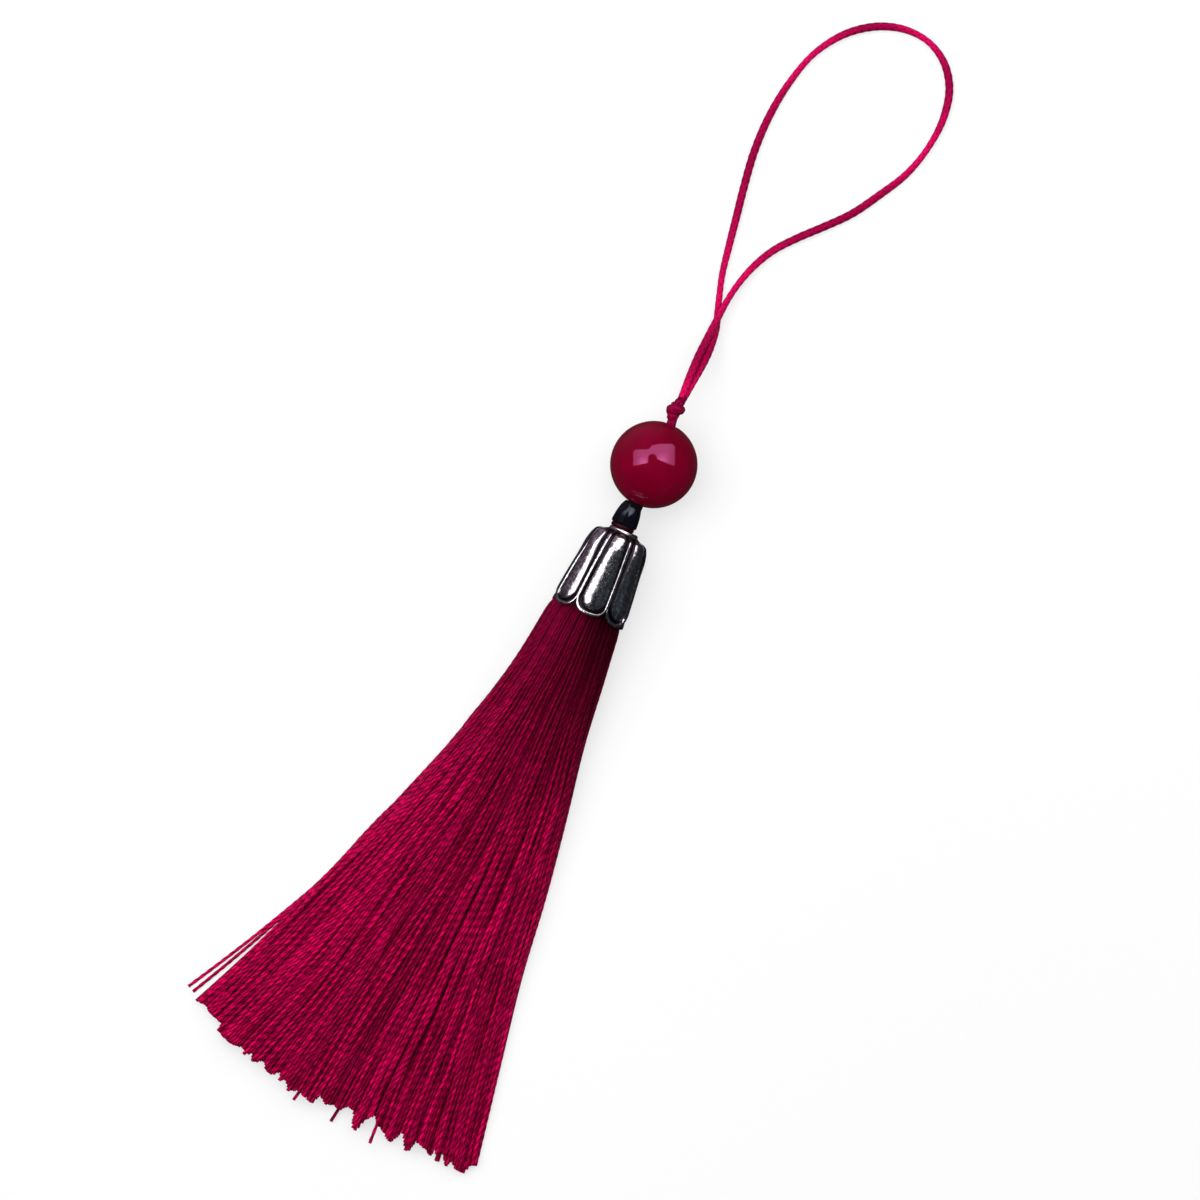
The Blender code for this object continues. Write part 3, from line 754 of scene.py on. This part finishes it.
def spacer_ring(material):
    """The thin ring between the small bead and the cap, round on its outside."""
    radius = (RING_HIGH.x - RING_LOW.x) / 2 - RING_INSET
    low, high = -CAP_TOP_BELOW, SMALL_END
    half = (high - low) / 2
    profile = []
    for angle in np.linspace(0, math.pi, 18):
        profile.append((low + half + half * math.cos(angle), radius - half * (1 - math.sin(angle) ** 0.5)))
    profile += [(low, BORE_RADIUS), (high, BORE_RADIUS)]
    points = turned(profile, 64, STRUNG_SHIFT)
    points[-2:, :, 0] -= STRUNG_SHIFT
    ring = closed_piece("spacer_ring", points, material)
    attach(ring, "root")
    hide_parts("neck_ring")


def rounded_gap(side, end, corner):
    """Distance to the edge of a shape with straight sides and a round end, from the gaps to both."""
    in_corner = (side < corner) & (end < corner)
    return np.where(in_corner, corner - np.hypot(corner - side, corner - end), np.minimum(side, end))


def petal_relief(across, to_end, from_collar):
    """Height of a petal's face over the cap's wall, and how bright wear has left it.

    The face is a puffed lobe in a groove, with a wire-like rim round it that fades towards the collar.
    """
    side = (1 - np.abs(across)) * PETAL_HALF_WIDTH
    edge = rounded_gap(side + RIM_WIDTH / 2, to_end, RIM_CORNER)
    off_rim = (edge - RIM_WIDTH / 2) / (RIM_WIDTH / 2)
    rise_start, rise_end = np.array(RIM_RISE) * MM
    risen = ease((from_collar - rise_start) / (rise_end - rise_start))
    rim = np.sqrt(np.clip(1 - off_rim**4, 0, 1)) * (RIM_LEAST + (1 - RIM_LEAST) * risen)
    side_gap = LOBE_SIDE_GAP + LOBE_NARROWING * (1 - ease(from_collar / LOBE_NARROWING_LENGTH))
    lobe_width = PETAL_HALF_WIDTH - side_gap
    end_gap = np.minimum(to_end - LOBE_END_GAP, from_collar - LOBE_START)
    inside = rounded_gap(side - side_gap, end_gap, lobe_width)
    share = np.clip(inside / lobe_width, 0, 1)
    lobe = np.sqrt(1 - (1 - share) ** 2)
    puff = LOBE_PUFF * (LOBE_LEAST + (1 - LOBE_LEAST) * ease(from_collar / LOBE_RISE_LENGTH))
    height = np.maximum(RIM_HEIGHT * rim, puff * lobe) - GROOVE_DEPTH
    worn = ease((share - 0.08) / 0.2) * ease((from_collar - 0.3 * MM) / (0.4 * MM))
    return height, np.maximum(np.minimum(2.2 * rim, 1), worn)


def petal_cap(material):
    """The cap: its collar, its petals down to the scalloped edge, and its inside back up to the bore."""
    inner = np.array(PETAL_COLUMNS) * MM / PETAL_HALF_WIDTH
    petal = np.concatenate(([-1.0], inner - 1, [0.0], 1 - inner[::-1]))
    across = np.tile(petal, PETALS)
    columns = len(across)
    end = PETAL_NOTCH_DEPTH + PETAL_TIP_LENGTH * np.sqrt(1 - across**2)
    # One petal lies uppermost.
    angle = math.pi / 2 + math.pi / PETALS * (across + 2 * np.repeat(np.arange(PETALS), len(petal)))

    def wall(depth):
        return smooth_table(CAP_OUTSIDE, depth / MM)[:, 0] * MM

    def row(depth, radius):
        return np.stack(
            (radius * np.cos(angle), -CAP_TOP_BELOW - depth, AXIS_HEIGHT + radius * np.sin(angle)), axis=-1
        )

    level = np.ones(columns)
    rows = []
    hollow = []
    for depth in np.linspace(0, COLLAR_LENGTH, 12):
        rows.append(row(depth * level, wall(depth * level)))
        hollow.append(level * COLLAR_HOLLOW * ease((depth - 0.5 * MM) / (0.12 * MM)))
    # The outside is followed by its length from the collar, and the relief stands square to it.
    depths = np.linspace(COLLAR_LENGTH, PETAL_NOTCH_DEPTH + PETAL_TIP_LENGTH, 700)
    radii = wall(depths)
    lengths = np.concatenate(([0], np.cumsum(np.hypot(np.diff(depths), np.diff(radii)))))
    outwards = np.gradient(depths, lengths)
    upwards = -np.gradient(radii, lengths)
    full = np.interp(end, depths, lengths)
    near_collar = np.linspace(0.005, 0.2, 36)
    down_petal = np.linspace(0.215, 0.88, 44)
    near_tip = np.linspace(0.887, 1.0, 28)
    for step in np.concatenate((near_collar, down_petal, near_tip)):
        at = full * step
        height, worn = petal_relief(across, full - at, at)
        height = height * ease(at / (0.5 * MM))
        depth = np.interp(at, lengths, depths) + height * np.interp(at, lengths, upwards)
        radius = np.interp(at, lengths, radii) + height * np.interp(at, lengths, outwards)
        rows.append(row(depth, radius))
        hollow.append(1 - worn)
    rows.append(row(end, wall(end) - CAP_WALL))
    for depth in np.linspace(*INSIDE_DEPTHS, 16) * MM:
        rows.append(row(depth * level, wall(depth * level) - CAP_WALL))
    rows.append(row(CAP_CEILING_DEPTH * level, BORE_RADIUS * level))
    rows.append(row(0.0 * level, BORE_RADIUS * level))
    while len(hollow) < len(rows):
        hollow.append(level * INSIDE_HOLLOW)
    cap = closed_piece("flower_cap", np.array(rows), material, np.array(hollow))
    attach(cap, "root")
    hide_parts("petal_cap")


def thread_places(dice):
    """Places of the threads in a unit disc, on a slightly shaken golden lattice."""
    golden = (1 + math.sqrt(5)) / 2
    pitch = math.sqrt(math.pi / (math.sqrt(5) * THREADS))
    reach = int(3 / pitch)
    i, j = np.meshgrid(np.arange(-reach, reach + 1), np.arange(-reach, reach + 1))
    places = pitch * np.column_stack(((i + j * golden + 0.31).ravel(), (i - j / golden + 0.17).ravel()))
    places = places[np.hypot(places[:, 0], places[:, 1]) <= 1]
    places += dice.uniform(-0.3, 0.3, places.shape) * pitch
    places /= np.maximum(np.hypot(places[:, 0], places[:, 1]), 1)[:, None]
    return places[np.argsort(places[:, 0])]


def waves(dice, count, along, amplitude, shortest, longest):
    """A few slow sine waves for each thread: how far it wanders from its own way."""
    total = np.zeros((len(along), count))
    for _ in range(3):
        length = dice.uniform(shortest, longest, count)
        phase = dice.uniform(0, 2 * math.pi, count)
        total += np.sin(2 * math.pi * along[:, None] / length + phase)
    return total * amplitude / 1.7


def ridges(dice, across, along):
    """Shallow ridges and grooves that run down the fan, from -1 to 1."""
    total = np.zeros((len(along), len(across)))
    for _ in range(7):
        count = dice.uniform(9, 34)
        drift = dice.uniform(-1, 1) / (30 * MM)
        total += np.sin(count * across[None, :] + drift * along[:, None] + dice.uniform(0, 2 * math.pi))
    return total / 3.2


def push_apart(at, diameter):
    """Moves threads that lie in each other most of the way apart."""
    gap = at[:, None] - at[None]
    distance = np.hypot(gap[..., 0], gap[..., 1]) + 1e-9
    overlap = np.clip(diameter - distance, 0, None)
    np.fill_diagonal(overlap, 0)
    return at + PUSH_SHARE * (gap * (overlap / distance)[..., None]).sum(axis=1)


def close_gaps(at, diameter):
    """Draws neighbours together where the floor would show between them."""
    order = np.argsort(at[:, 0])
    excess = np.clip(np.diff(at[order, 0]) - GAP_LIMIT * diameter, 0, None)
    at = at.copy()
    at[order[:-1], 0] += DRAW_SHARE * excess
    at[order[1:], 0] -= DRAW_SHARE * excess
    return at


def lay_threads(dice):
    """Paths of all threads: at each station they are drawn to the fan's shape and pushed off each other."""
    places = thread_places(dice)
    below = np.linspace(THREAD_START_BELOW, THREAD_LAST_BELOW, THREAD_STATIONS)
    edges = smooth_table(FAN_EDGES, below / MM) * MM
    shrink = np.interp(below, (THREAD_START_BELOW, ROOTS_BELOW), (THREAD_TOP_RADIUS / ROOTS_RADIUS, 1))
    left, right = edges[:, 0] * shrink, edges[:, 1] * shrink
    half_width = (right - left) / 2
    free = np.clip(below - ROOTS_BELOW, 0, None)
    loose = 1 + LOOSENING * (1 - np.exp(-free / LOOSENING_LENGTH))
    half_height = (ROOTS_RADIUS * shrink) ** 2 / half_width * loose
    thickness = np.interp(below / MM, *np.transpose(THREAD_THICKNESS)) * MM
    landed = ease(free / (UNDERSIDE_ON_FLOOR_BELOW - ROOTS_BELOW))
    flat = ease(free / (UNDERSIDE_FLAT_BELOW - ROOTS_BELOW))
    underside = (AXIS_HEIGHT - ROOTS_RADIUS * shrink) * (1 - landed) + thickness / 2 * landed

    across, up = places.T
    belly = np.sqrt(np.clip(1 - across**2, 0, None))
    rise = up + 1 + flat[:, None] * (belly - 1)
    freedom = ease(free / FREE_LENGTH)[:, None]
    relief = ridges(dice, across, below)
    even = 2 / math.pi * (np.arcsin(across) + across * belly)
    spread = across + EVENING * flat[:, None] * (even - across)
    x = (left + right)[:, None] / 2 + half_width[:, None] * spread
    x += waves(dice, len(places), below, WANDER, 30 * MM, 80 * MM) * freedom
    z = underside[:, None] + half_height[:, None] * rise * (1 + RIDGE_RELIEF * relief * freedom)
    z += waves(dice, len(places), below, HEAVE, 20 * MM, 50 * MM) * freedom
    target = np.stack((x, z), axis=-1)

    strays = np.arange(len(STRAY_THREADS))
    for index, (outside, stop) in enumerate(STRAY_THREADS):
        share = np.clip((below - STRAY_START_BELOW) / (stop * MM - STRAY_START_BELOW), 0, None)
        target[:, index, 0] = left - outside * MM * share + thickness / 2 * (1 - share)
        height = target[:, index, 1]
        target[:, index, 1] = np.minimum(height, height * (1 - share) + thickness / 2)

    path = np.empty_like(target)
    at = target[0]
    for station in range(THREAD_STATIONS):
        if station:
            at = at + target[station] - target[station - 1]
        radius = thickness[station] / 2
        for _ in range(SETTLE_PASSES):
            at = at + SETTLE_PULL * (target[station] - at)
            at = push_apart(at, thickness[station])
            at[len(strays) :] = close_gaps(at[len(strays) :], thickness[station])
            low = np.full(len(at), left[station] + radius)
            low[strays] = -np.inf
            at[:, 0] = np.clip(at[:, 0], low, right[station] - radius)
            at[:, 1] = np.maximum(at[:, 1], min(underside[station], AXIS_HEIGHT))
        path[station] = at
    # At each station the fan is stretched to reach both its edges.
    kept = np.delete(path[..., 0], strays, axis=1)
    low, high = kept.min(axis=1)[:, None], kept.max(axis=1)[:, None]
    share = (path[..., 0] - low) / (high - low)
    stretched = (left + thickness / 2)[:, None] + share * (right - left - thickness)[:, None]
    stretched[:, strays] = path[:, strays, 0]
    path[..., 0] = stretched
    for _ in range(SMOOTH_PASSES):
        path[1:-1] = (path[:-2] + 2 * path[1:-1] + path[2:]) / 4
    return below, thickness, path


def thread_ends(dice, below, path):
    """How far below the bead each thread is cut."""
    station = np.searchsorted(below, TRIM_BELOW)
    ends = np.interp(path[station, :, 0] / MM, *np.transpose(TRIM_LINE)) * MM
    ends -= np.abs(dice.normal(0, TRIM_UNEVENNESS, len(ends)))
    for across, stop in LONE_THREADS:
        at_stop = path[np.searchsorted(below, stop * MM) - 1, :, 0]
        ends[np.argmin(np.abs(at_stop - across * MM))] = stop * MM
    ends[: len(STRAY_THREADS)] = np.array(STRAY_THREADS)[:, 1] * MM
    return ends


def seen_from_above(path, thickness, below):
    """The share of its length over which each thread isn't covered by others."""
    seen = np.zeros(path.shape[1])
    stations = range(10, len(below), 6)
    for station in stations:
        x, z = path[station].T
        near = np.abs(x[:, None] - x[None]) < 0.45 * thickness[station]
        higher = z[None] > z[:, None] + 0.3 * thickness[station]
        seen += ~(near & higher).any(axis=1)
    return seen / len(stations)


def fringe(material):
    """All threads. Those that show most are fine, with their two plies, and the others are plainer."""
    dice = np.random.default_rng(7)
    below, thickness, path = lay_threads(dice)
    ends = thread_ends(dice, below, path)
    seen = seen_from_above(path, thickness, below)
    shades = np.clip(dice.normal(0.5, 0.17, path.shape[1]), 0, 1)
    phases = dice.uniform(0, 2 * math.pi, path.shape[1])
    most_seen = np.argsort(-seen, kind="stable")
    fine = np.sort(most_seen[:FINE_THREADS])
    plain = np.sort(most_seen[FINE_THREADS:])

    def add_thread(grids, index, step, sides, relief):
        kept = below < ends[index]
        stops = np.append(below[kept], ends[index])
        x = np.interp(stops, below, path[:, index, 0])
        z = np.interp(stops, below, path[:, index, 1])
        line = respaced(np.column_stack((x, -stops, z)), step)
        radius = np.interp(-line[:, 1], below, thickness) / 2

        def ply(angle, along):
            turn = 2 * math.pi * along / PLY_PITCH
            return PLY_RELIEF * relief * np.cos(2 * angle - turn + phases[index])

        points, along = tube(line, radius, sides, ply)
        # Painted shade: darker under the cap, and darkest on the right flank there.
        free = -line[:, 1] - ROOTS_BELOW
        out = ease(free / PAINTED_SHADE_LENGTH)
        right_flank_shade = ease((line[:, 0] - FLANK_START_X) / FLANK_WIDTH) * (1 - ease(free / FLANK_LENGTH))
        shade = shades[index] * (PAINTED_SHADE_ROOT_TONE + PAINTED_SHADE_TONE_GAIN * out) * (1 - FLANK_PAINTED_SHADE * right_flank_shade)
        grids.add(points, along + phases[index] * PLY_PITCH / (2 * math.pi), shade[:, None])

    def add_piece(name, members, step, sides, relief):
        grids = Grids()
        for index in members:
            add_thread(grids, index, step, sides, relief)
        piece = grids.make(name, material)
        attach(piece, "root")
        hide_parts("tassel")

    for number, first in enumerate(range(0, len(fine), FINE_THREADS_A_PIECE)):
        members = fine[first : first + FINE_THREADS_A_PIECE]
        add_piece(f"fringe_top_{number + 1}", members, FINE_STEP, FINE_SIDES, 1.0)
    add_piece("fringe_under", plain, PLAIN_STEP, PLAIN_SIDES, 0.0)


def tied_head(material):
    """The bound top of the threads, inside the cap."""
    depths = np.linspace(HEAD_OUTLINE[0][0], HEAD_OUTLINE[-1][0], 40)
    radii = smooth_table(HEAD_OUTLINE, depths)[:, 0]
    binding = BINDING_RELIEF * np.cos(2 * math.pi * depths / BINDING_PITCH)
    profile = [(-depth * MM, (radius + wound) * MM) for depth, radius, wound in zip(depths, radii, binding)]
    grids = Grids()
    grids.add(turned(profile, 48), depths * MM)
    head = grids.make("tied_head", material)
    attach(head, "root")
    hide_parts("tassel")


def soft_light(name, toward, power):
    """A softbox in a direction given as (picture right, picture up, height). Reflections don't show it."""
    data = bpy.data.lights.new(name, "AREA")
    data.shape = "SQUARE"
    data.size = LIGHT_SIZE
    data.energy = power
    lamp = placed(name, data)
    lamp.location = in_world(np.array(toward) / np.linalg.norm(toward)) * LIGHT_DISTANCE
    lamp.rotation_mode = "QUATERNION"
    lamp.rotation_quaternion = lamp.location.to_track_quat("Z", "Y")
    lamp.visible_glossy = False


def in_world(toward):
    """Turns directions from (picture right, picture up, height) to the scene's own axes."""
    toward = np.asarray(toward)
    cos, sin = math.cos(PICTURE_TURN), math.sin(PICTURE_TURN)
    right, up = toward[..., 0], toward[..., 1]
    return np.stack((right * cos - up * sin, right * sin + up * cos, toward[..., 2]), axis=-1)


def window():
    """The large soft window that shows in the bead, with the round notch in its lower edge.

    It is laid out as it shows on the bead, in shares of the bead's radius, and each point is moved out along
    its reflection. It lights the gloss only.
    """
    left_of_notch = np.linspace(-0.47, -0.14, 20)
    over_notch = np.linspace(-0.135, 0.069, 30)
    right_of_notch = np.linspace(0.072, 0.47, 22)
    across = np.concatenate((left_of_notch, over_notch, right_of_notch))
    low = np.interp(across, *np.transpose(WINDOW_FOOT))
    notch = np.clip(1 - ((across - NOTCH_MIDDLE[0]) / NOTCH_RADIUS) ** 2, 0, 1)
    low = np.where(notch > 0, NOTCH_MIDDLE[1] + NOTCH_RADIUS * np.sqrt(notch), low)
    high = np.interp(across, *np.transpose(WINDOW_TOP))
    share = np.linspace(0, 1, 16)[:, None]
    up = low + (high - low) * share
    across = np.broadcast_to(across, up.shape)
    height = np.sqrt(1 - across**2 - up**2)
    toward = np.stack((2 * height * across, 2 * height * up, 2 * height**2 - 1), axis=-1)
    points = in_world(toward) * WINDOW_DISTANCE + np.array((0, 0, AXIS_HEIGHT))
    rows, columns = up.shape
    index = np.arange(rows * columns).reshape(rows, columns)
    quads = np.stack((index[:-1, :-1], index[:-1, 1:], index[1:, 1:], index[1:, :-1]), axis=-1).reshape(-1, 4)
    mesh = bpy.data.meshes.new("window")
    mesh.from_pydata(points.reshape(-1, 3).tolist(), [], quads.tolist())
    glow = np.ones(up.shape)
    for x, y in WINDOW_BRIGHTEST:
        glow += SPOT_GAIN * np.exp(-((across - x) ** 2 + (up - y) ** 2) / SPOT_AREA)
    dimming, dim_start, dim_width = WINDOW_DIMMING
    glow *= 1 - dimming * ease((np.abs(across) - dim_start) / dim_width)
    shade = mesh.attributes.new("shade", "FLOAT", "POINT")
    shade.data.foreach_set("value", glow.ravel().astype(np.float32))
    finish = Finish("window_glow")
    finish.set(
        Base_Color=BLACK,
        Emission_Color=WHITE,
        Emission_Strength=finish.math("MULTIPLY", finish.shade(), WINDOW_GLOW),
    )
    mesh.materials.append(finish.material)
    show_to_gloss_only(mesh)


def show_to_gloss_only(mesh):
    """Puts a mesh into the studio where reflections show it and nothing else does."""
    board = placed(mesh.name, mesh)
    board.visible_camera = False
    board.visible_diffuse = False
    board.visible_shadow = False


def card(name, points, color, glow_color):
    """A studio card that only the gloss sees."""
    mesh = bpy.data.meshes.new(name)
    mesh.from_pydata([tuple(point) for point in points], [], [(0, 1, 2, 3)])
    finish = Finish(name)
    finish.set(Base_Color=color, Roughness=1.0, Specular_IOR_Level=0.0)
    finish.set(Emission_Color=glow_color, Emission_Strength=1.0)
    mesh.materials.append(finish.material)
    show_to_gloss_only(mesh)


def cards_round_cap():
    """A dark card keeps the window off the cap's right side, and a dim blue strip streaks its right lobe."""
    middle = np.array((0.0, -CAP_TOP_BELOW - DARK_CARD_BELOW_CAP_TOP, AXIS_HEIGHT))
    points = [middle + DARK_CARD_HEIGHT * in_world((right, up, 1.0)) for right, up in DARK_CARD_CORNERS]
    card("dark_card", points, DARK_CARD_COLOR, BLACK)
    low, high = BLUE_STRIP_HEIGHTS
    far, near = BLUE_STRIP_ENDS
    corners = ((far, low), (near, low), (near, high), (far, high))
    points = [(BLUE_STRIP_X * MM, -below * MM, z * MM) for below, z in corners]
    card("blue_strip", points, BLACK, BLUE_STRIP_GLOW)


def floor():
    """The floor that the part lies on. Reflections don't show it."""
    mesh = bpy.data.meshes.new("floor")
    ways = ((-1, -1), (1, -1), (1, 1), (-1, 1))
    corners = [(FLOOR_HALF_SIDE * right, FLOOR_HALF_SIDE * up, 0) for right, up in ways]
    mesh.from_pydata(corners, [], [(0, 1, 2, 3)])
    mesh.materials.append(floor_finish())
    sheet = placed("floor", mesh)
    sheet.visible_glossy = False


def room():
    """Light from all round: pale on the room's bright side and nearly black on the other."""
    world = bpy.data.worlds.new("dim_room")
    bpy.context.scene.world = world
    world.use_nodes = True
    nodes, links = world.node_tree.nodes, world.node_tree.links
    place = nodes.new("ShaderNodeTexCoord").outputs["Generated"]
    side = nodes.new("ShaderNodeVectorMath")
    side.operation = "DOT_PRODUCT"
    side.inputs[1].default_value = in_world(ROOM_BRIGHT_SIDE)
    links.new(place, side.inputs[0])
    half = nodes.new("ShaderNodeMapRange")
    half.inputs["From Min"].default_value = -1.0
    links.new(side.outputs["Value"], half.inputs["Value"])
    ramp = nodes.new("ShaderNodeValToRGB")
    (_, dark), (middle_place, middle), (bright_place, bright) = ROOM_TONES
    ramp.color_ramp.elements[0].color = (*dark, 1)
    ramp.color_ramp.elements[1].position = bright_place
    ramp.color_ramp.elements[1].color = (*bright, 1)
    ramp.color_ramp.elements.new(middle_place).color = (*middle, 1)
    links.new(half.outputs[0], ramp.inputs[0])
    links.new(ramp.outputs[0], nodes["Background"].inputs[0])


def studio():
    """Pale floor, the window, two cards, a key light from the upper left, a weak fill and a dim room."""
    floor()
    window()
    cards_round_cap()
    soft_light("key", *KEY_LIGHT)
    soft_light("fill", *FILL_LIGHT)
    room()


def camera():
    """Looks straight down, turned so that the part lies slanting as in the photo."""
    data = bpy.data.cameras.new("camera")
    data.sensor_width = SENSOR
    data.lens = SENSOR * CAMERA_HEIGHT / PICTURE_WIDTH
    data.clip_start = 0.05
    data.clip_end = 20.0
    item = placed("camera", data)
    item.location = (*PICTURE_MIDDLE, CAMERA_HEIGHT)
    item.rotation_euler = (0, 0, PICTURE_TURN)
    bpy.context.scene.camera = item


bpy.context.scene.view_settings.view_transform = "Standard"
camera()
crimson_cord = cord_finish()
crimson_thread = thread_finish()
hanging_loop(crimson_cord)
loop_knot(crimson_cord)
round_bead(red_bead_finish())
dark_bead(black_bead_finish())
spacer_ring(ring_finish())
petal_cap(silver_finish())
tied_head(crimson_thread)
fringe(crimson_thread)
studio()
